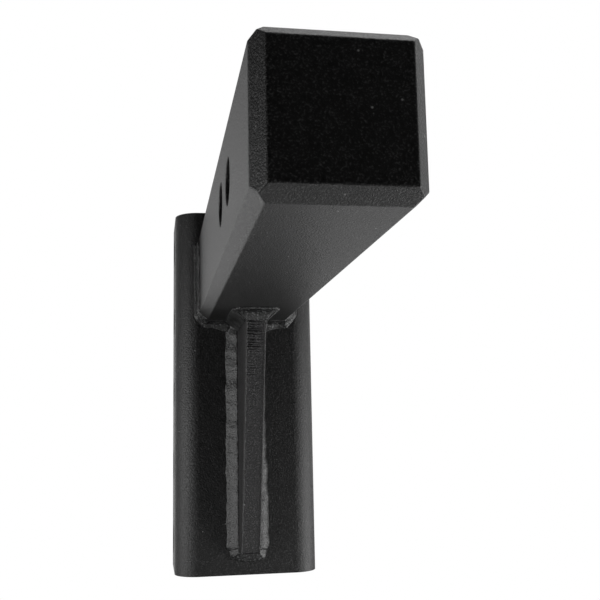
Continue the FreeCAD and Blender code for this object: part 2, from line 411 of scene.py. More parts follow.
@dataclass(frozen=True)
class PowderCoat:
    """Black polyester powder, sprayed on and baked over steel.

    The baked film is a satin dielectric. It flows into a fine pebble that glitters softly in a raking
    light, it goes duller where it is thin, and it holds a few dust nibs. Its colour goes lighter in specks
    where the pebble is highest: partly the thinner film, and partly painted glints that stand in for the
    pebble's sparkle. Each nib is painted light grey, which is a painted glint over its bump. The real
    pebble is about 0.3 mm across, too fine to show, so it is drawn two to three times as coarse and deep.

    Args:
        name: The material's name: what it is and what it covers.
        colour: Colour of the film.
        thin_film_and_glint_colour: Colour of the lighter specks: the thin film, with painted glints of the
            pebble.
        roughness: Gloss of the film, as the shader's roughness.
        roughness_spread: How much the roughness varies over the surface.
        pebble: Spacing of the fine pebble, in mm.
        pebble_depth: Depth of the fine pebble, in mm.
        swell: Spacing of the slow swell in the steel beneath, in mm.
        swell_depth: Depth of the slow swell, in mm.
        nibs: Share of the surface's cells that hold a dust nib.
        nib_glint_colour: Colour of a dust nib, which is a painted glint over its bump.
    """

    name: str
    colour: str
    thin_film_and_glint_colour: str
    roughness: float = 0.46
    roughness_spread: float = 0.3
    pebble: float = 0.8
    pebble_depth: float = 0.3
    swell: float = 9.0
    swell_depth: float = 0.02
    nibs: float = 0.08
    nib_glint_colour: str = "#8f8f8f"

    POLYESTER_IOR = 1.5
    # The pebble's values at which its lighter specks (thin film and painted glints) start, and at which they
    # are lightest
    SPECK_FROM = 0.53
    SPECK_AT = 0.71
    PEBBLE_LAYERS = 3.0
    SWELL_LAYERS = 2.0
    LAYER_ROUGHNESS = 0.55
    # Nibs, in mm: size of the cells that may hold one, and its height. Its rim and its top are in cells.
    NIB_CELL = 4
    NIB_HEIGHT = 0.12
    NIB_RIM = 0.12
    NIB_TOP = 0.03

    def material(self) -> bpy.types.Material:
        """Build the finish.

        Returns:
            The material, with its pattern sizes in real millimetres.
        """
        finish = bpy.data.materials.new(self.name)
        finish.use_nodes = True
        tree = finish.node_tree
        tree.nodes.clear()
        place = add_node(tree, "ShaderNodeTexCoord").outputs["Object"]
        pebble = self.pattern(tree, place, self.pebble, self.PEBBLE_LAYERS)
        swell = self.pattern(tree, place, self.swell, self.SWELL_LAYERS)
        nib = self.dust(tree, place)
        # Lighter specks where the pebble is highest: the thinner film, and painted glints that stand in for
        # its sparkle
        thin_film_and_glints = add_node(
            tree,
            "ShaderNodeMapRange",
            {},
            {"Value": pebble, "From Min": self.SPECK_FROM, "From Max": self.SPECK_AT},
        )
        film = add_node(
            tree,
            "ShaderNodeMix",
            {"data_type": "RGBA"},
            {"Factor": thin_film_and_glints.outputs["Result"], "A": linear(self.colour), "B": linear(self.thin_film_and_glint_colour)},
        )
        # Each nib is painted light grey: a painted glint over the nib's real bump
        film_and_nib_glints = add_node(
            tree,
            "ShaderNodeMix",
            {"data_type": "RGBA"},
            {"Factor": nib, "A": film.outputs["Result"], "B": linear(self.nib_glint_colour)},
        )
        gloss = add_node(
            tree,
            "ShaderNodeMapRange",
            {},
            {
                "Value": pebble,
                "To Min": self.roughness - self.roughness_spread,
                "To Max": self.roughness + self.roughness_spread,
            },
        )
        slow = self.relief(tree, swell, self.swell_depth, None)
        fine = self.relief(tree, pebble, self.pebble_depth, slow)
        bumps = self.relief(tree, nib, self.NIB_HEIGHT, fine)
        shader = add_node(
            tree,
            "ShaderNodeBsdfPrincipled",
            {},
            {
                "Base Color": film_and_nib_glints.outputs["Result"],
                "Roughness": gloss.outputs["Result"],
                "Normal": bumps,
                "IOR": self.POLYESTER_IOR,
            },
        )
        add_node(tree, "ShaderNodeOutputMaterial", {}, {"Surface": shader.outputs["BSDF"]})
        return finish

    def pattern(
        self,
        tree: bpy.types.NodeTree,
        place: bpy.types.NodeSocket,
        spacing: float,
        layers: float,
    ) -> bpy.types.NodeSocket:
        """Add a soft uneven pattern of a real size.

        Args:
            tree: The material's nodes.
            place: Where on the object.
            spacing: Size of one mark, in mm.
            layers: How many finer layers ride on it.

        Returns:
            The pattern's value.
        """
        inputs = {
            "Vector": place,
            "Scale": 1 / (spacing * MM),
            "Detail": layers,
            "Roughness": self.LAYER_ROUGHNESS,
        }
        return add_node(tree, "ShaderNodeTexNoise", {}, inputs).outputs[0]

    def dust(self, tree: bpy.types.NodeTree, place: bpy.types.NodeSocket) -> bpy.types.NodeSocket:
        """Add a few nibs of dust caught under the film, each about 1 mm across at its rim.

        Args:
            tree: The material's nodes.
            place: Where on the object.

        Returns:
            1 at the middle of a nib, and 0 away from nibs: where the nib's bump rises and where its painted
            glint colour goes.
        """
        scale = 1 / (self.NIB_CELL * MM)
        cells = add_node(tree, "ShaderNodeTexVoronoi", {}, {"Vector": place, "Scale": scale})
        bump = add_node(
            tree,
            "ShaderNodeMapRange",
            {},
            {"Value": cells.outputs["Distance"], "From Min": self.NIB_RIM, "From Max": self.NIB_TOP},
        )
        lot = add_node(tree, "ShaderNodeSeparateColor", {}, {"Color": cells.outputs["Color"]})
        kept = add_node(
            tree, "ShaderNodeMath", {"operation": "LESS_THAN"}, {0: lot.outputs[0], 1: self.nibs}
        )
        nib = add_node(
            tree, "ShaderNodeMath", {"operation": "MULTIPLY"}, {0: bump.outputs[0], 1: kept.outputs[0]}
        )
        return nib.outputs[0]

    def relief(
        self,
        tree: bpy.types.NodeTree,
        height: bpy.types.NodeSocket,
        depth: float,
        below: bpy.types.NodeSocket | None,
    ) -> bpy.types.NodeSocket:
        """Turn a pattern into relief on top of what lies below it.

        Args:
            tree: The material's nodes.
            height: The pattern.
            depth: Its depth, in mm.
            below: Relief that it lies on, if any.

        Returns:
            The surface's normal.
        """
        inputs = {"Height": height, "Distance": depth * MM, "Strength": 1.0}
        if below:
            inputs["Normal"] = below
        return add_node(tree, "ShaderNodeBump", {}, inputs).outputs["Normal"]


# Cold-drawn bar is smooth, so its coat lies evenest and glossiest.
DRAWN_BAR_COAT = PowderCoat(
    "powder_coat_on_cold_drawn_bar", "#070707", "#424242", pebble=0.65, pebble_depth=0.25, nibs=0.2
)
# Hot-rolled channel carries a slow swell and a duller pebble from its mill scale.
ROLLED_CHANNEL_COAT = PowderCoat(
    "powder_coat_on_hot_rolled_channel", "#020202", "#313131", roughness=0.48, swell_depth=0.03
)
# Torch-cut plate keeps its drag lines, and the coat there is rough, with lighter specks of painted glint.
CUT_PLATE_COAT = PowderCoat(
    "powder_coat_on_torch_cut_plate", "#040304", "#454445", roughness=0.5, pebble_depth=0.45
)
# Weld metal is lumpy, and the coat over it is glossier. It has the lightest specks of painted glint and the
# most painted nib glints, so the welds read brighter.
WELD_COAT = PowderCoat(
    "powder_coat_on_weld_metal",
    "#060606",
    "#5a5b5b",
    roughness=0.38,
    pebble=0.9,
    nibs=0.3,
    swell=2.2,
    swell_depth=0.04,
)


@dataclass
class ShankBar:
    """Solid square bar with chamfered edges, a chamfered tip and two pin holes across it.

    Args:
        edge_chamfer: Width that each long chamfer takes from a side.
        tip_sideways: Width that the tip's chamfer takes from the end face.
        tip_along: Length that the tip's chamfer takes along the bar.
        edge_rounding: Rounding of each sharp edge under the coat.
        hole_facets: Sides of each pin hole.
    """

    edge_chamfer: float = 4.4 * MM
    tip_sideways: float = 4.4 * MM
    tip_along: float = 5.6 * MM
    edge_rounding: float = 0.45 * MM
    hole_facets: int = 72

    def build(self, finish: bpy.types.Material) -> None:
        """Model the bar and dress it.

        Args:
            finish: The coat on the bar.
        """
        low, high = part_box("shank_bar")
        bar = Workpiece.block("coated_shank_bar", low, high)
        bar.select(MeshPart.EDGE, lambda middle, direction: abs(direction.y) > ALONG)
        bar.bevel_selected(self.edge_chamfer, 1)
        for outward, corner in self.tip_planes(low, high):
            bar.saw(corner, outward)
        bar.drill_bores("pin_bore", (high.x - low.x) * 2, self.hole_facets)
        bar.soften_edges(self.edge_rounding)
        bar.hand_over("shank_bar", Slot.PLATE, finish)

    def tip_planes(self, low: Vector, high: Vector) -> list[tuple[Vector, Vector]]:
        """Work out the four planes of the tip's chamfer.

        Args:
            low: The bar's lowest corner.
            high: The bar's highest corner.

        Returns:
            The outward normal and one point of each plane.
        """
        shoulder_y = low.y + self.tip_along
        planes = []
        for across, corner in (
            (Vector((-1, 0, 0)), low),
            (Vector((1, 0, 0)), high),
            (Vector((0, 0, -1)), low),
            (Vector((0, 0, 1)), high),
        ):
            outward = across * self.tip_along + Vector((0, -self.tip_sideways, 0))
            planes.append((outward.normalized(), Vector((corner.x, shoulder_y, corner.z))))
        return planes


@dataclass
class Channel:
    """Upright bent channel, open at the back, with five bolt holes through each flange.

    Args:
        wall: Thickness of the steel.
        bend_radius: Outer radius of the two bends.
        bend_segments: Faces round each bend.
        edge_rounding: Rounding of each sharp edge under the coat.
        hole_facets: Sides of each bolt hole.
    """

    wall: float = 6.35 * MM
    bend_radius: float = 12.7 * MM
    bend_segments: int = 28
    edge_rounding: float = 0.5 * MM
    hole_facets: int = 64

    def build(self, finish: bpy.types.Material) -> None:
        """Model the channel and dress it.

        Args:
            finish: The coat on the channel.
        """
        low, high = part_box("channel")
        channel = Workpiece.block("coated_channel", low, high)
        channel.select(MeshPart.FACE, lambda middle, normal: normal.y > ALONG or abs(normal.z) > ALONG)
        bpy.ops.mesh.delete(type="FACE")
        behind_web = low.y + self.wall
        channel.select(
            MeshPart.EDGE,
            lambda middle, direction: abs(direction.z) > ALONG and middle.y < behind_web,
        )
        channel.bevel_selected(self.bend_radius, self.bend_segments)
        channel.finish_with("SOLIDIFY", thickness=self.wall, offset=-1.0, use_even_offset=True)
        channel.drill_bores("bolt_bore", (high.x - low.x) * 2, self.hole_facets)
        channel.soften_edges(self.edge_rounding)
        channel.hand_over("channel", Slot.PLATE, finish)


@dataclass
class GussetPlate:
    """Tapered brace, torch cut along its sloping front edge.

    The torch leaves drag lines across the cut, deepest near the top, and a thin bead of slag along
    both of the cut's corners.

    Args:
        reach_bottom: The plate's reach from the web at its lower end.
        columns: Faces across the cut, narrowest at its corners.
        row_height: Face height down the cut.
        slag_height: How far the slag beads stand proud.
        slag_width: Width of a slag bead.
        drag_pitch: Spacing of the drag lines.
        drag_depth: Depth of the deepest drag lines.
    """

    reach_bottom: float = 13.5 * MM
    columns: int = 64
    row_height: float = 0.24 * MM
    slag_height: float = 0.34 * MM
    slag_width: float = 0.8 * MM
    drag_pitch: float = 1.3 * MM
    drag_depth: float = 0.5 * MM

    GENTLE_BEND = 50
    # Slag: how much its width varies and over what length, its seeds on the left and the right, and how
    # many slag heights its outer side drops
    SLAG_UNEVENNESS = 0.15
    SLAG_WAVE = 4 * MM
    SLAG_SEEDS = (4.0, 9.0)
    OUTER_DROP = 1.4
    # Drag lines: how far they bow and wander down the cut, and how narrow they are
    DRAG_BOW = 0.35 * MM
    DRAG_WANDER = 0.55 * MM
    DRAG_WAVE = 3 * MM
    DRAG_SEED = 2.0
    DRAG_SHARPNESS = 3.5
    # Distances down the cut between which each rough stretch starts or stops
    ROUGH_TOP_STOPS = (23 * MM, 19 * MM)
    ROUGH_AGAIN_STARTS = (26 * MM, 29 * MM)
    ROUGH_AGAIN_STOPS = (36 * MM, 32 * MM)
    ROUGH_AGAIN_SHARE = 0.4
    EVERYWHERE_SHARE = 0.1
    # The lines are deepest on the left: their share on the right, and how much of a half they fade over
    RIGHT_SHARE = 0.3
    FADE = 0.6
    # How many slag widths in from the left and the right corner they end, and over how many they fade
    INTO_SLAG = (0.5, 0.9)
    SLAG_FADE = 0.5
    # Unevenness of their depth: mean, least, and the parts that vary down and across the cut
    DEPTH_MEAN = 0.8
    DEPTH_LEAST = 0.1
    DEPTH_DOWN = 0.5
    DEPTH_DOWN_WAVE = 1.3 * MM
    DEPTH_DOWN_SEED = 7.0
    DEPTH_ACROSS = 0.4
    DEPTH_ACROSS_WAVE = 2.2 * MM

    def build(self, finish: bpy.types.Material) -> None:
        """Model the plate and dress it.

        Args:
            finish: The coat on the plate.
        """
        low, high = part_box("gusset_plate")
        top = Vector((0, low.y, high.z))
        foot = Vector((0, high.y - self.reach_bottom, low.z))
        up = (top - foot).normalized()
        outward = Vector((0, -up.z, up.y))
        thickness = high.x - low.x
        half = thickness / 2
        size = (half, (top - foot).length)
        # The cut is made one thickness too long at each end, and is then sawn to length.
        length = size[1] + thickness * 2
        plate = Workpiece.sheet("coated_gusset_plate", self.columns, round(length / self.row_height))
        centre = (top + foot) / 2
        plate.push(
            lambda spot: centre + Vector((half * math.sin(math.pi * spot.x), 0, 0)) + up * (spot.y * length)
        )
        plate.push(lambda spot: spot + outward * self.cut_height(spot.x, (top - spot).dot(up), size))
        plate.select_all()
        bpy.ops.mesh.extrude_region_move(
            TRANSFORM_OT_translate={"value": (0, (high.y - low.y) * 2, 0)}
        )
        bpy.ops.object.mode_set(mode="OBJECT")
        plate.saw(high, Vector((0, 1, 0)))
        plate.saw(high, Vector((0, 0, 1)))
        plate.saw(low, Vector((0, 0, -1)))
        plate.close()
        plate.shade_gentle_bends(self.GENTLE_BEND)
        plate.hand_over("gusset_plate", Slot.PLATE, finish)

    def cut_height(self, across: float, down: float, size: tuple[float, float]) -> float:
        """Height of the torch-cut face above its mean plane.

        Args:
            across: Distance from the plate's middle, positive to the right.
            down: Distance down the cut from its top.
            size: Half of the cut's width, and its length.

        Returns:
            The height, in metres. It is never above zero, so that the cut stays inside the plate.
        """
        half, length = size
        seed = self.SLAG_SEEDS[int(across >= 0)]
        width = self.slag_width * (1 + self.SLAG_UNEVENNESS * wander(down, self.SLAG_WAVE, seed))
        place = max(0.0, min(half - abs(across), length - down)) / width
        roll = math.sqrt(max(0.0, 1 - (2 * place - 1) ** 2)) if place < 1 else 0.0
        outer_side = place < 0.5
        below = -self.slag_height * self.OUTER_DROP if outer_side else -self.slag_height
        return below - (below * roll) - self.drag(across, down, half)

    def drag(self, across: float, down: float, half: float) -> float:
        """Depth of the torch's drag lines.

        Args:
            across: Distance from the plate's middle, positive to the right.
            down: Distance down the cut from its top.
            half: Half of the plate's thickness.

        Returns:
            How deep the cut lies below its mean plane there, in metres.
        """
        bow = self.DRAG_BOW * (across / half) ** 2
        place = down + bow + self.DRAG_WANDER * wander(down, self.DRAG_WAVE, self.DRAG_SEED)
        groove = (0.5 + 0.5 * math.cos(math.tau * place / self.drag_pitch)) ** self.DRAG_SHARPNESS
        rough_top = smooth_step(*self.ROUGH_TOP_STOPS, down)
        rough_again = self.ROUGH_AGAIN_SHARE * smooth_step(*self.ROUGH_AGAIN_STARTS, down)
        rough_again *= smooth_step(*self.ROUGH_AGAIN_STOPS, down)
        strength = rough_top + rough_again + self.EVERYWHERE_SHARE
        leftward = smooth_step(half * self.FADE, -half * self.FADE, across)
        leftward = self.RIGHT_SHARE + (1 - self.RIGHT_SHARE) * leftward
        edge = half - self.slag_width * self.INTO_SLAG[int(across >= 0)]
        inside = smooth_step(edge, edge - self.slag_width * self.SLAG_FADE, abs(across))
        along = self.DEPTH_DOWN * wander(down, self.DEPTH_DOWN_WAVE, self.DEPTH_DOWN_SEED)
        aside = self.DEPTH_ACROSS * wander(across, self.DEPTH_ACROSS_WAVE, down / MM)
        uneven = max(self.DEPTH_LEAST, self.DEPTH_MEAN + along + aside)
        return self.drag_depth * groove * strength * leftward * inside * uneven


# The root, the first toe and the second toe of a pass, at one place along its seam.
Rails = tuple[Vector, Vector, Vector]


@dataclass
class Seam:
    """A line that turns corners, with an outward direction that swings smoothly round them.

    Args:
        corners: Points of the line, in order.
        outwards: Outward direction of each stretch.
        swing: Distance before and after a corner in which the direction turns.
    """

    corners: list[Vector]
    outwards: list[Vector]
    swing: float = 2.5 * MM

    SWING_STEPS = 8

    @property
    def lengths(self) -> list[float]:
        """Length of each stretch."""
        return [(end - start).length for start, end in zip(self.corners, self.corners[1:])]

    def point(self, distance: float) -> Vector:
        """Find a place on the line.

        Args:
            distance: How far along the line.

        Returns:
            The place. Past either end, the line runs straight on.
        """
        stretch, along = self.locate(distance)
        start = self.corners[stretch]
        return start + (self.corners[stretch + 1] - start).normalized() * along

    def outward(self, distance: float) -> Vector:
        """Find the outward direction at a place on the line.

        Args:
            distance: How far along the line.

        Returns:
            The direction, of length 1.
        """
        total = Vector()
        for step in range(-self.SWING_STEPS, self.SWING_STEPS + 1):
            total += self.outwards[self.locate(distance + self.swing * step / self.SWING_STEPS)[0]]
        return total.normalized()

    def locate(self, distance: float) -> tuple[int, float]:
        """Find the stretch that holds a place.

        Args:
            distance: How far along the line.

        Returns:
            The stretch's number, and how far along that stretch the place is.
        """
        lengths = self.lengths
        stretch = 0
        while stretch < len(lengths) - 1 and distance > lengths[stretch]:
            distance -= lengths[stretch]
            stretch += 1
        return stretch, distance


@dataclass(frozen=True)
class BeadForm:
    """Shape of a pass of weld metal, whatever seam it lies on.

    Args:
        crown: How far its face swells past the straight line between its toes, or less than 0 if hollow.
        lip: How much further the first toe stands proud.
        start_lump: How much further its face swells where the first metal piled up.
        crater: Depth of the crater where a rounded end froze last.
        ripple_height: Height of the ripples that the moving pool left.
        toe_wander: How much a leg varies, as a share of it.
        lumps: Height of the larger unevenness.
        ends: How it starts and how it stops.
    """

    crown: float
    lip: float = 0.0
    start_lump: float = 0.0
    crater: float = 0.0
    ripple_height: float = 0.04 * MM
    toe_wander: float = 0.06
    lumps: float = 0.12 * MM
    ends: tuple[BeadEnd, BeadEnd] = (BeadEnd.BURIED, BeadEnd.BURIED)


@dataclass
class WeldBead:
    """One pass of weld metal, laid between two toes along a seam.

    Args:
        node: The node that the bead stands for.
        rails: Gives the root, the first toe and the second toe at a distance along the seam.
        start: Distance along the seam where the bead starts.
        stop: Distance along the seam where it stops.
        form: Shape of the bead.
        seed: Number that sets this bead apart from others.
    """

    node: str
    rails: Callable[[float], Rails]
    start: float
    stop: float
    form: BeadForm
    seed: float

    FACE_STEPS = 22
    STATION_STEP = 0.34 * MM
    # How far the toes and the root lie inside the steel, and how far the toes stand proud
    SINK = 0.3 * MM
    ROOT_SINK = 1.0 * MM
    TOE_HEIGHT = 0.2 * MM
    # Shares of the face's width: each toe's rounding, and where the lip ends and where it is full
    TOE_SHARE = 0.12
    LIP_SHARES = (0.45, 0.08)
    # Lengths over which a leg varies slowly and quickly, and the quick part's share
    LEG_WAVE = 7 * MM
    LEG_SHIVER = 2.2 * MM
    SHIVER_SHARE = 0.15
    RIPPLE_PITCH = 1.5 * MM
    RIPPLE_WAVE = 4 * MM
    # In ripple pitches: how far a ripple trails at the toes, and how far it strays
    RIPPLE_BOW = 0.9
    RIPPLE_STRAY = 0.5
    RIPPLE_SHARPNESS = 0.8
    # Lumps and the finer grit on them: length of one, and how many lie across the face
    LUMP_LENGTH = 3 * MM
    LUMPS_ACROSS = 1.7
    GRIT_LENGTH = 0.9 * MM
    GRIT_ACROSS = 6
    GRIT_SHARE = 0.45
    # The pile of first metal: its distance from the start, and its length
    PILE_PLACE = 4.5 * MM
    PILE_LENGTH = 4 * MM
    # The crater: its distance from the stop and its length, then its place and width as shares of the face
    CRATER_PLACE = 1.7 * MM
    CRATER_LENGTH = 0.6 * MM
    CRATER_ACROSS = 0.55
    CRATER_WIDTH = 0.2
    # A rounded end reaches this share of both legs back, and is never thinner than the least fullness.
    BLUNTNESS = 0.42
    LEAST_FULLNESS = 0.03
    # Keep apart the noise that one bead's toes, ripples and grit read
    SECOND_TOE_SEED = 5
    SHIVER_SEED = 1
    RIPPLE_SEED = 2
    GRIT_SEED = 3

    def build(self, finish: bpy.types.Material) -> None:
        """Model the bead and dress it.

        Args:
            finish: The coat on the weld metal.
        """
        rows = round(abs(self.stop - self.start) / self.STATION_STEP)
        # The last two columns go to the root and back to the first toe.
        columns = self.FACE_STEPS + 2
        bead = Workpiece.sheet(f"coated_{self.node}", columns, rows)
        bead.push(lambda spot: self.place(round((spot.x + 0.5) * columns), spot.y + 0.5))
        bead.close()
        bead.hand_over(self.node, Slot.WELD, finish)

    def place(self, column: int, share: float) -> Vector:
        """Find where a point of the flat sheet goes on the bead.

        Args:
            column: The point's column: across the face, then back through the root.
            share: How far along the bead, from 0 to 1.

        Returns:
            The point's place.
        """
        distance = self.start + (self.stop - self.start) * share
        root, first, second = self.rails(distance)
        first = root + (first - root) * self.leg_share(distance, self.seed)
        second = root + (second - root) * self.leg_share(distance, self.seed + self.SECOND_TOE_SEED)
        proud = ((first + second) / 2 - root).normalized()
        anchor = root - proud * self.ROOT_SINK
        if column == self.FACE_STEPS + 1:
            return anchor
        turn = math.pi * (column % (self.FACE_STEPS + 2)) / self.FACE_STEPS
        across = (1 - math.cos(turn)) / 2
        spot = first + (second - first) * across + proud * self.rise(distance, across)
        return anchor + (spot - anchor) * self.fullness(share)

    def leg_share(self, distance: float, seed: float) -> float:
        """Share of its nominal length that a leg has.

        Args:
            distance: How far along the seam.
            seed: Number that sets this toe apart from others.

        Returns:
            A share of about 1.
        """
        shiver = wander(distance, self.LEG_SHIVER, seed + self.SHIVER_SEED)
        sway = wander(distance, self.LEG_WAVE, seed) + self.SHIVER_SHARE * shiver
        return 1 + self.form.toe_wander * sway

    def rise(self, distance: float, across: float) -> float:
        """Height of the bead's face above the straight line between its toes.

        Args:
            distance: How far along the seam.
            across: How far across the face, from 0 to 1.

        Returns:
            The height, in metres. It is below zero at both toes, which are sunk in the steel.
        """
        share = min(1.0, min(across, 1 - across) / self.TOE_SHARE)
        rounding = math.sqrt(1 - (1 - share) ** 2)
        lip = self.form.lip * smooth_step(*self.LIP_SHARES, across)
        middle = math.sin(math.pi * across)
        proud = self.SINK + self.TOE_HEIGHT + lip + self.texture(distance, across) * math.sqrt(middle)
        from_pile = (abs(distance - self.start) - self.PILE_PLACE) / self.PILE_LENGTH
        crown = self.form.crown + self.form.start_lump * math.exp(-(from_pile ** 2))
        return proud * rounding - self.SINK + crown * middle

    def texture(self, distance: float, across: float) -> float:
        """Height of the ripples and lumps on the bead's face.

        Args:
            distance: How far along the seam.
            across: How far across the face, from 0 to 1.

        Returns:
            The height, in metres.
        """
        bow = self.RIPPLE_BOW * self.RIPPLE_PITCH * (2 * across - 1) ** 2
        stray = self.RIPPLE_STRAY * self.RIPPLE_PITCH
        place = distance + bow + stray * wander(distance, self.RIPPLE_WAVE, self.seed + self.RIPPLE_SEED)
        crest = abs(math.sin(math.pi * place / self.RIPPLE_PITCH)) ** self.RIPPLE_SHARPNESS
        lump_spot = Vector((distance / self.LUMP_LENGTH, across * self.LUMPS_ACROSS, self.seed))
        grit_seed = self.seed + self.GRIT_SEED
        grit_spot = Vector((distance / self.GRIT_LENGTH, across * self.GRIT_ACROSS, grit_seed))
        lumps = noise.noise(lump_spot) + self.GRIT_SHARE * noise.noise(grit_spot)
        from_stop = (abs(self.stop - distance) - self.CRATER_PLACE) / self.CRATER_LENGTH
        from_middle = (across - self.CRATER_ACROSS) / self.CRATER_WIDTH
        pit = self.form.crater * math.exp(-(from_stop ** 2) - from_middle ** 2)
        return crest * self.form.ripple_height + lumps * self.form.lumps - pit

    def fullness(self, share: float) -> float:
        """Share of its full section that the bead has, less near a rounded end.

        Args:
            share: How far along the bead, from 0 to 1.

        Returns:
            The share of the section, from almost 0 to 1.
        """
        full = 1.0
        length = abs(self.stop - self.start)
        root, first, second = self.rails(self.start)
        reach = ((first - root).length + (second - root).length) * self.BLUNTNESS
        for end, gap in zip(self.form.ends, (share * length, (1 - share) * length)):
            if end is BeadEnd.ROUNDED and gap < reach:
                full *= max(self.LEAST_FULLNESS, math.sqrt(1 - (1 - gap / reach) ** 2))
        return full


@dataclass
class BarWelds:
    """Welds between the bar and the channel: two passes on each open side, one each side of the gusset.

    Args:
        leg_along: Leg along the bar.
        leg_side: Leg across the web on the sides and the top.
        leg_bottom: Leg across the web at the bottom, by the bar's corners.
        leg_gain: How much longer that leg is by the gusset.
        side_top: Height at which the side passes start.
        top_half_length: Half of the top passes' length.
        bottom_gap: Distance from the middle at which the bottom passes stop, against the gusset.
        corner: Size of the bar's chamfered corner.
        bend_radius: Outer radius of the channel's bends.
        side_form: Shape of the passes on the open sides.
        bottom_form: Shape of the passes at the bottom.
    """

    leg_along: float = 6.0 * MM
    leg_side: float = 3.2 * MM
    leg_bottom: float = 3.9 * MM
    leg_gain: float = 2.5 * MM
    side_top: float = 19.5 * MM
    top_half_length: float = 20.0 * MM
    bottom_gap: float = 6.0 * MM
    corner: float = 4.4 * MM
    bend_radius: float = 12.7 * MM
    side_form: BeadForm = BeadForm(crown=0.25 * MM, ends=(BeadEnd.ROUNDED, BeadEnd.ROUNDED))
    bottom_form: BeadForm = BeadForm(
        crown=-1.0 * MM,
        lip=0.6 * MM,
        start_lump=1.3 * MM,
        toe_wander=0.1,
        lumps=0.3 * MM,
        ends=(BeadEnd.ROUNDED, BeadEnd.ROUNDED),
    )
    half: float = field(init=False)
    web_y: float = field(init=False)
    web_half_flat: float = field(init=False)

    SWING = 5 * MM
    # How steeply down the outward direction points where the side's leg starts and ends its change to
    # the bottom's leg
    DOWNWARD = (0.2, 0.9)
    # Distances from the middle between which the bottom leg grows towards the gusset
    NEAR_GUSSET = (20 * MM, 7 * MM)
    # The valley between two passes: its place between the toes, and how far out it lies
    VALLEY_PLACE = 0.52
    VALLEY_HEIGHT = 0.35 * MM
    # Shares of the bar's chamfer that a side pass runs on along, and that a bottom pass starts before
    SIDE_PAST_CORNER = 0.7
    BOTTOM_BEFORE_CORNER = 0.5
    SIDE_SEED = 10.0
    BOTTOM_SEED = 1.0

    def __post_init__(self) -> None:
        """Read the bar's and the channel's sizes from the frame."""
        self.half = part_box("shank_bar")[1].x
        self.web_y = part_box("channel")[0].y
        self.web_half_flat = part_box("channel")[1].x - self.bend_radius

    def around(self) -> Seam:
        """Lay out the seam down the left side, along the bottom and up the right side.

        Returns:
            The seam, on the web's front face.
        """
        short = self.half - self.corner
        outline = [
            (-self.half, self.side_top),
            (-self.half, -short),
            (-short, -self.half),
            (short, -self.half),
            (self.half, -short),
            (self.half, self.side_top),
        ]
        outwards = [(-1, 0), (-1, -1), (0, -1), (1, -1), (1, 0)]
        return Seam(
            [Vector((x, self.web_y, z)) for x, z in outline],
            [Vector((x, 0, z)).normalized() for x, z in outwards],
            swing=self.SWING,
        )

    def across_top(self) -> Seam:
        """Lay out the seam along the top."""
        ends = (-self.top_half_length, self.top_half_length)
        return Seam([Vector((x, self.web_y, self.half)) for x in ends], [Vector((0, 0, 1))])

    def toes(self, seam: Seam, distance: float) -> Rails:
        """Find the root and the outer toes of the whole weld.

        Args:
            seam: The seam that the weld follows.
            distance: How far along the seam.

        Returns:
            The root, the toe on the channel and the toe on the bar.
        """
        root = seam.point(distance)
        outward = seam.outward(distance)
        down = smooth_step(*self.DOWNWARD, -outward.z)
        near_gusset = self.leg_gain * smooth_step(*self.NEAR_GUSSET, abs(root.x))
        leg_below = self.leg_bottom + near_gusset - self.leg_side
        on_web = root + outward * (self.leg_side + leg_below * down)
        past_flat = max(0.0, abs(on_web.x) - self.web_half_flat)
        on_web.y += self.bend_radius - math.sqrt(self.bend_radius ** 2 - past_flat ** 2)
        return root, on_web, root - Vector((0, self.leg_along, 0))

    def pass_rails(self, seam: Seam, lane: Lane, distance: float) -> Rails:
        """Find the rails of one of the two passes that lie side by side.

        Args:
            seam: The seam that the weld follows.
            lane: Which pass.
            distance: How far along the seam.

        Returns:
            The root, the pass's toe nearer the channel and its toe nearer the bar's tip. The two passes
            meet in a valley just outside the middle of the weld's face.
        """
        root, on_web, on_bar = self.toes(seam, distance)
        middle = on_web * self.VALLEY_PLACE + on_bar * (1 - self.VALLEY_PLACE)
        valley = middle + (middle - root).normalized() * self.VALLEY_HEIGHT
        if lane is Lane.WEB:
            return root, on_web, valley
        return root, valley, on_bar

    def build(self, finish: bpy.types.Material) -> None:
        """Model all the passes and dress them.

        Args:
            finish: The coat on the weld metal.
        """
        around = self.around()
        straight, chamfer = around.lengths[:2]
        total = sum(around.lengths)
        side_stop = straight + chamfer * self.SIDE_PAST_CORNER
        for side, seam, start, stop in (
            ("left", around, 0.0, side_stop),
            ("right", around, total, total - side_stop),
            ("top", self.across_top(), 0.0, 2 * self.top_half_length),
        ):
            for number, lane in enumerate(Lane):
                node = f"shank_weld_{side}_{lane.value}_pass"
                rails = partial(self.pass_rails, seam, lane)
                seed = self.SIDE_SEED + start / MM + number
                WeldBead(node, rails, start, stop, self.side_form, seed).build(finish)
        rails = partial(self.toes, around)
        bottom_start = straight - chamfer * self.BOTTOM_BEFORE_CORNER
        bottom_stop = total / 2 - self.bottom_gap
        for side, start, stop in (
            ("left", bottom_start, bottom_stop),
            ("right", total - bottom_start, total - bottom_stop),
        ):
            node = f"shank_weld_bottom_{side}"
            WeldBead(node, rails, start, stop, self.bottom_form, self.BOTTOM_SEED).build(finish)


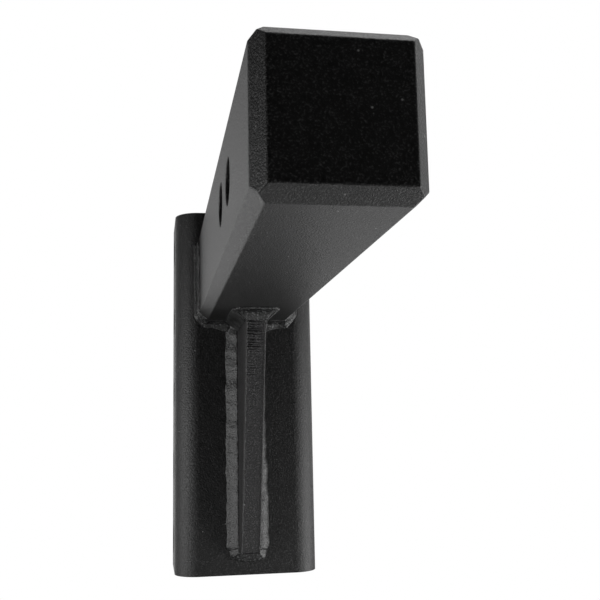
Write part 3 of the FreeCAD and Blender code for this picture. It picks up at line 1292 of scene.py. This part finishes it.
@dataclass
class GussetWelds:
    """Welds that hold the gusset: to the bar's underside, to the web and round its lower end.

    Args:
        seat_leg_across: Leg of the seat welds on the bar, at the sides.
        seat_leg_nose: Leg of the seat weld on the bar, at the nose.
        seat_leg_down: Leg of the seat welds on the gusset.
        brace_leg_web: Leg of the vertical welds on the web.
        brace_leg_gusset: Leg of the vertical welds on the gusset.
        brace_end: Height of the vertical welds' ends above the gusset's bottom, less than 0 if below it.
        toe_leg_across: Leg of the bottom weld on the web, at the sides.
        toe_leg_down: Leg of the bottom weld on the web, below.
        toe_leg_gusset: Leg of the bottom weld on the gusset.
        toe_rise: How far the bottom weld runs up the gusset's sides.
        reach_bottom: The gusset's reach from the web at its lower end.
        nose_form: Shape of the weld round the nose.
        seat_form: Shape of the seat welds behind it.
        brace_forms: Shapes of the left and the right vertical weld.
        toe_form: Shape of the bottom weld.
    """

    seat_leg_across: float = 7.0 * MM
    seat_leg_nose: float = 5.3 * MM
    seat_leg_down: float = 6.0 * MM
    brace_leg_web: float = 6.4 * MM
    brace_leg_gusset: float = 4.4 * MM
    brace_end: float = -1.2 * MM
    toe_leg_across: float = 5.2 * MM
    toe_leg_down: float = 5.5 * MM
    toe_leg_gusset: float = 4.0 * MM
    toe_rise: float = 4.0 * MM
    reach_bottom: float = 13.5 * MM
    nose_form: BeadForm = BeadForm(crown=-0.65 * MM, lip=0.45 * MM)
    seat_form: BeadForm = BeadForm(crown=-0.2 * MM)
    brace_forms: tuple[BeadForm, BeadForm] = tuple(
        BeadForm(
            crown=crown,
            lip=lip,
            crater=0.6 * MM,
            ripple_height=0.015 * MM,
            toe_wander=0.09,
            lumps=0.16 * MM,
            ends=(BeadEnd.BURIED, BeadEnd.ROUNDED),
        )
        for crown, lip in ((0.1 * MM, 0.3 * MM), (0.9 * MM, 0.0))
    )
    toe_form: BeadForm = BeadForm(crown=0.1 * MM, lumps=0.08 * MM)
    low: Vector = field(init=False)
    high: Vector = field(init=False)

    SEAT_SWING = 5 * MM
    TOE_SWING = 3.5 * MM
    # Where the seat welds pass to the nose weld, and where they and the vertical ones start at the corner
    BEHIND_NOSE = 3 * MM
    SEAT_FROM_WEB = 1 * MM
    BRACE_FROM_BAR = 2 * MM
    # The right vertical weld starts narrower: its share there, the share it gains, and between which heights
    NARROW_SHARE = 0.84
    GAINED_SHARE = 0.16
    GAIN_STARTS = 0.4
    GAIN_STOPS = 0.8
    NOSE_SEED = 31.0
    BRACE_SEED = 50.0
    TOE_SEED = 71.0

    def __post_init__(self) -> None:
        """Read the gusset's place from the frame."""
        self.low, self.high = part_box("gusset_plate")

    def seat_seam(self) -> Seam:
        """Lay out the seam forwards along the gusset's left side, round its nose and back.

        Returns:
            The seam, on the bar's underside.
        """
        outline = [
            (self.low.x, self.high.y),
            (self.low.x, self.low.y),
            (self.high.x, self.low.y),
            (self.high.x, self.high.y),
        ]
        return Seam(
            [Vector((x, y, self.high.z)) for x, y in outline],
            [Vector((-1, 0, 0)), Vector((0, -1, 0)), Vector((1, 0, 0))],
            swing=self.SEAT_SWING,
        )

    def seat_rails(self, seam: Seam, distance: float) -> Rails:
        """Find the rails of the seat welds and the nose weld.

        Args:
            seam: The seam that they follow.
            distance: How far along the seam.

        Returns:
            The root, the toe on the bar and the toe on the gusset.
        """
        slope = (self.high.y - self.low.y - self.reach_bottom) / (self.high.z - self.low.z)
        root = seam.point(distance)
        outward = seam.outward(distance)
        forward = smooth_step(0.0, 1.0, -outward.y)
        leg = self.seat_leg_across + (self.seat_leg_nose - self.seat_leg_across) * forward
        set_back = Vector((0, slope * self.seat_leg_down * forward, 0))
        return root, root + outward * leg, root + set_back - Vector((0, 0, self.seat_leg_down))

    def brace_rails(self, side: int, distance: float) -> Rails:
        """Find the rails of a vertical weld.

        Args:
            side: -1 for the left weld and 1 for the right one.
            distance: How far down from the bar.

        Returns:
            The root, the toe on the web and the toe on the gusset.
        """
        height = self.high.z - self.low.z
        root = Vector((side * self.high.x, self.high.y, self.high.z - distance))
        leg = self.brace_leg_web
        if side > 0:
            gained = smooth_step(height * self.GAIN_STARTS, height * self.GAIN_STOPS, distance)
            leg *= self.NARROW_SHARE + self.GAINED_SHARE * gained
        on_web = root + Vector((side * leg, 0, 0))
        return root, on_web, root - Vector((0, self.brace_leg_gusset, 0))

    def toe_seam(self) -> Seam:
        """Lay out the seam down the gusset's left side, under its bottom end and up its right side.

        Returns:
            The seam, on the web's front face.
        """
        outline = [
            (self.low.x, self.low.z + self.toe_rise),
            (self.low.x, self.low.z),
            (self.high.x, self.low.z),
            (self.high.x, self.low.z + self.toe_rise),
        ]
        return Seam(
            [Vector((x, self.high.y, z)) for x, z in outline],
            [Vector((-1, 0, 0)), Vector((0, 0, -1)), Vector((1, 0, 0))],
            swing=self.TOE_SWING,
        )

    def toe_rails(self, seam: Seam, distance: float) -> Rails:
        """Find the rails of the weld round the gusset's lower end.

        Args:
            seam: The seam that it follows.
            distance: How far along the seam.

        Returns:
            The root, the toe on the web and the toe on the gusset.
        """
        root = seam.point(distance)
        outward = seam.outward(distance)
        down = smooth_step(0.0, 1.0, -outward.z)
        leg = self.toe_leg_across + (self.toe_leg_down - self.toe_leg_across) * down
        return root, root + outward * leg, root - Vector((0, self.toe_leg_gusset, 0))

    def build(self, finish: bpy.types.Material) -> None:
        """Model the welds and dress them.

        Args:
            finish: The coat on the weld metal.
        """
        for bead in [*self.seat_beads(), *self.brace_beads(), self.toe_bead()]:
            bead.build(finish)

    def seat_beads(self) -> list[WeldBead]:
        """Lay out the weld round the nose and the ones behind it.

        Returns:
            The nose weld, then the left and the right seat weld.
        """
        seam = self.seat_seam()
        rails = partial(self.seat_rails, seam)
        total = sum(seam.lengths)
        left = seam.lengths[0] - self.BEHIND_NOSE
        right = total - left
        left_end = self.SEAT_FROM_WEB
        return [
            WeldBead("gusset_nose_weld", rails, left, right, self.nose_form, self.NOSE_SEED),
            WeldBead("gusset_seat_weld_left", rails, left, left_end, self.seat_form, left / MM),
            WeldBead("gusset_seat_weld_right", rails, right, total - left_end, self.seat_form, right / MM),
        ]

    def brace_beads(self) -> list[WeldBead]:
        """Lay out the two vertical welds.

        Returns:
            The left weld and the right weld.
        """
        start = self.BRACE_FROM_BAR
        stop = self.high.z - self.low.z - self.brace_end
        beads = []
        for name, side, form in zip(("left", "right"), (-1, 1), self.brace_forms):
            rails = partial(self.brace_rails, side)
            seed = self.BRACE_SEED + side
            beads.append(WeldBead(f"gusset_web_weld_{name}", rails, start, stop, form, seed))
        return beads

    def toe_bead(self) -> WeldBead:
        """Lay out the weld round the lower end.

        Returns:
            The weld, from the gusset's left side to its right side.
        """
        seam = self.toe_seam()
        rails = partial(self.toe_rails, seam)
        return WeldBead("gusset_toe_weld", rails, 0.0, sum(seam.lengths), self.toe_form, self.TOE_SEED)


@dataclass(frozen=True)
class LightPanel:
    """A large soft panel of studio light, far enough away to count as a direction.

    Args:
        name: Where it stands.
        direction: Way from the object to the panel.
        strength: Its brightness.
    """

    name: str
    direction: tuple[float, float, float]
    strength: float

    # Angle from a panel's middle at which its light has faded out
    SPREAD = math.radians(45)


@dataclass(frozen=True)
class SoftBox:
    """A square soft box that stands near the object.

    Args:
        name: Where it stands.
        place: Its middle.
        strength: Its brightness.
    """

    name: str
    place: tuple[float, float, float]
    strength: float

    # Side of every box, and the point that every box faces
    SIZE = 0.3
    AIM = Vector((0, 0.15, -0.1))

    def hang(self) -> None:
        """Hang the box, facing the object, where the camera does not see it."""
        light = bpy.data.lights.new(self.name, "AREA")
        light.size = self.SIZE
        light.energy = self.strength * math.pi * self.SIZE ** 2
        stand = bpy.data.objects.new(self.name, light)
        bpy.context.scene.collection.objects.link(stand)
        stand.location = self.place
        stand.rotation_mode = "QUATERNION"
        stand.rotation_quaternion = (self.AIM - stand.location).to_track_quat("-Z", "Y")
        stand.visible_camera = False


@dataclass
class Studio:
    """Camera, pale floor and soft light.

    Args:
        eye: Where the camera stands.
        yaw: Its turn from +Y towards +X, in degrees.
        pitch: Its tilt upwards, in degrees.
        roll: Its lean, in degrees.
        lens: Its focal length in mm.
        floor_drop: How far the floor lies below the object.
        floor_size: Side of the floor.
        sensor: Width of the camera's sensor in mm.
        near_clip: Distance from the camera within which nothing shows.
        panels: The far soft panels.
        boxes: The near soft boxes.
    """

    eye: Vector = field(default_factory=lambda: Vector((-0.05082, -0.28999, -0.08673)))
    yaw: float = 9.81
    pitch: float = 8.75
    roll: float = -1.13
    lens: float = 51.91
    floor_drop: float = 0.12
    floor_size: float = 6.0
    sensor: float = 36.0
    near_clip: float = 1 * MM
    panels: tuple[LightPanel, ...] = (
        LightPanel("overhead", (0.0, 0.0, 1.0), 0.45),
        LightPanel("behind_low", (0.0, 0.97, -0.26), 0.84),
        LightPanel("behind_left", (-0.48, 0.84, 0.26), 0.5),
        LightPanel("behind_right_high", (0.5, 0.5, 0.7), 1.48),
    )
    boxes: tuple[SoftBox, ...] = (
        SoftBox("left_front", (-0.45, -0.15, -0.15), 3.85),
        SoftBox("left_side", (-0.45, 0.15, -0.15), 3.0),
        SoftBox("right_front", (0.45, -0.15, -0.15), 3.5),
        SoftBox("right_side", (0.45, 0.15, -0.15), 3.4),
        SoftBox("right_back", (0.4, 0.55, -0.05), 0.75),
        SoftBox("right_low", (0.4, 0.1, -0.4), 4.9),
        SoftBox("below_front", (0.0, -0.05, -0.4), 1.33),
    )

    def build(self) -> None:
        """Set up the whole studio."""
        bpy.context.scene.view_settings.view_transform = "Standard"
        self.place_camera()
        self.lay_floor()
        self.hang_lights()

    def place_camera(self) -> None:
        """Stand the camera in front of the bar's tip, low and to the left."""
        camera = bpy.data.cameras.new("camera")
        camera.lens = self.lens
        camera.sensor_width = self.sensor
        camera.clip_start = self.near_clip
        stand = bpy.data.objects.new("camera", camera)
        bpy.context.scene.collection.objects.link(stand)
        yaw = math.radians(self.yaw)
        pitch = math.radians(self.pitch)
        gaze = Vector((math.sin(yaw) * math.cos(pitch), math.cos(yaw) * math.cos(pitch), math.sin(pitch)))
        stand.location = self.eye
        stand.rotation_mode = "QUATERNION"
        lean = Quaternion((0, 0, 1), math.radians(self.roll))
        stand.rotation_quaternion = gaze.to_track_quat("-Z", "Y") @ lean
        bpy.context.scene.camera = stand

    def lay_floor(self) -> None:
        """Lay a plain white floor of backlit acrylic, which shows only from above and casts no light."""
        clear_selection()
        height = CAD_BOX[0][2] - self.floor_drop
        bpy.ops.mesh.primitive_plane_add(size=self.floor_size, location=(0, 0, height))
        floor = bpy.context.object
        floor.name = "floor"
        surface = bpy.data.materials.new("backlit_white_acrylic")
        surface.use_nodes = True
        tree = surface.node_tree
        tree.nodes.clear()
        glow = add_node(tree, "ShaderNodeEmission", {}, {"Strength": 1.0})
        clear = add_node(tree, "ShaderNodeBsdfTransparent")
        facing = add_node(tree, "ShaderNodeNewGeometry").outputs["Backfacing"]
        sides = add_node(
            tree, "ShaderNodeMixShader", {}, {0: facing, 1: glow.outputs[0], 2: clear.outputs[0]}
        )
        add_node(tree, "ShaderNodeOutputMaterial", {}, {"Surface": sides.outputs[0]})
        floor.data.materials.append(surface)
        floor.visible_diffuse = False
        floor.visible_glossy = False
        floor.visible_shadow = False

    def hang_lights(self) -> None:
        """Light the object with the soft panels, in front of a plain white background."""
        world = bpy.data.worlds.new("studio")
        bpy.context.scene.world = world
        world.use_nodes = True
        tree = world.node_tree
        tree.nodes.clear()
        way = add_node(tree, "ShaderNodeTexCoord").outputs["Generated"]
        total = 0.0
        for panel in self.panels:
            aim = Vector(panel.direction).normalized()
            dot = add_node(tree, "ShaderNodeVectorMath", {"operation": "DOT_PRODUCT"}, {0: way, 1: aim})
            fade = add_node(
                tree,
                "ShaderNodeMapRange",
                {"interpolation_type": "SMOOTHSTEP"},
                {
                    "Value": dot.outputs["Value"],
                    "From Min": math.cos(panel.SPREAD),
                    "To Max": panel.strength,
                },
            )
            joined = add_node(
                tree, "ShaderNodeMath", {"operation": "ADD"}, {0: fade.outputs["Result"], 1: total}
            )
            total = joined.outputs[0]
        light = add_node(tree, "ShaderNodeBackground", {}, {"Color": WHITE, "Strength": total})
        white = add_node(tree, "ShaderNodeBackground", {}, {"Color": WHITE})
        path = add_node(tree, "ShaderNodeLightPath").outputs["Is Camera Ray"]
        mix = add_node(tree, "ShaderNodeMixShader", {}, {0: path, 1: light.outputs[0], 2: white.outputs[0]})
        add_node(tree, "ShaderNodeOutputWorld", {}, {"Surface": mix.outputs[0]})
        for box in self.boxes:
            box.hang()


def main() -> None:
    """Build every piece, then the studio."""
    logging.basicConfig(level=logging.INFO, format="%(name)s: %(message)s")
    weld_coat = WELD_COAT.material()
    ShankBar().build(DRAWN_BAR_COAT.material())
    Channel().build(ROLLED_CHANNEL_COAT.material())
    GussetPlate().build(CUT_PLATE_COAT.material())
    BarWelds().build(weld_coat)
    GussetWelds().build(weld_coat)
    Studio().build()


if __name__ == "__main__":
    main()
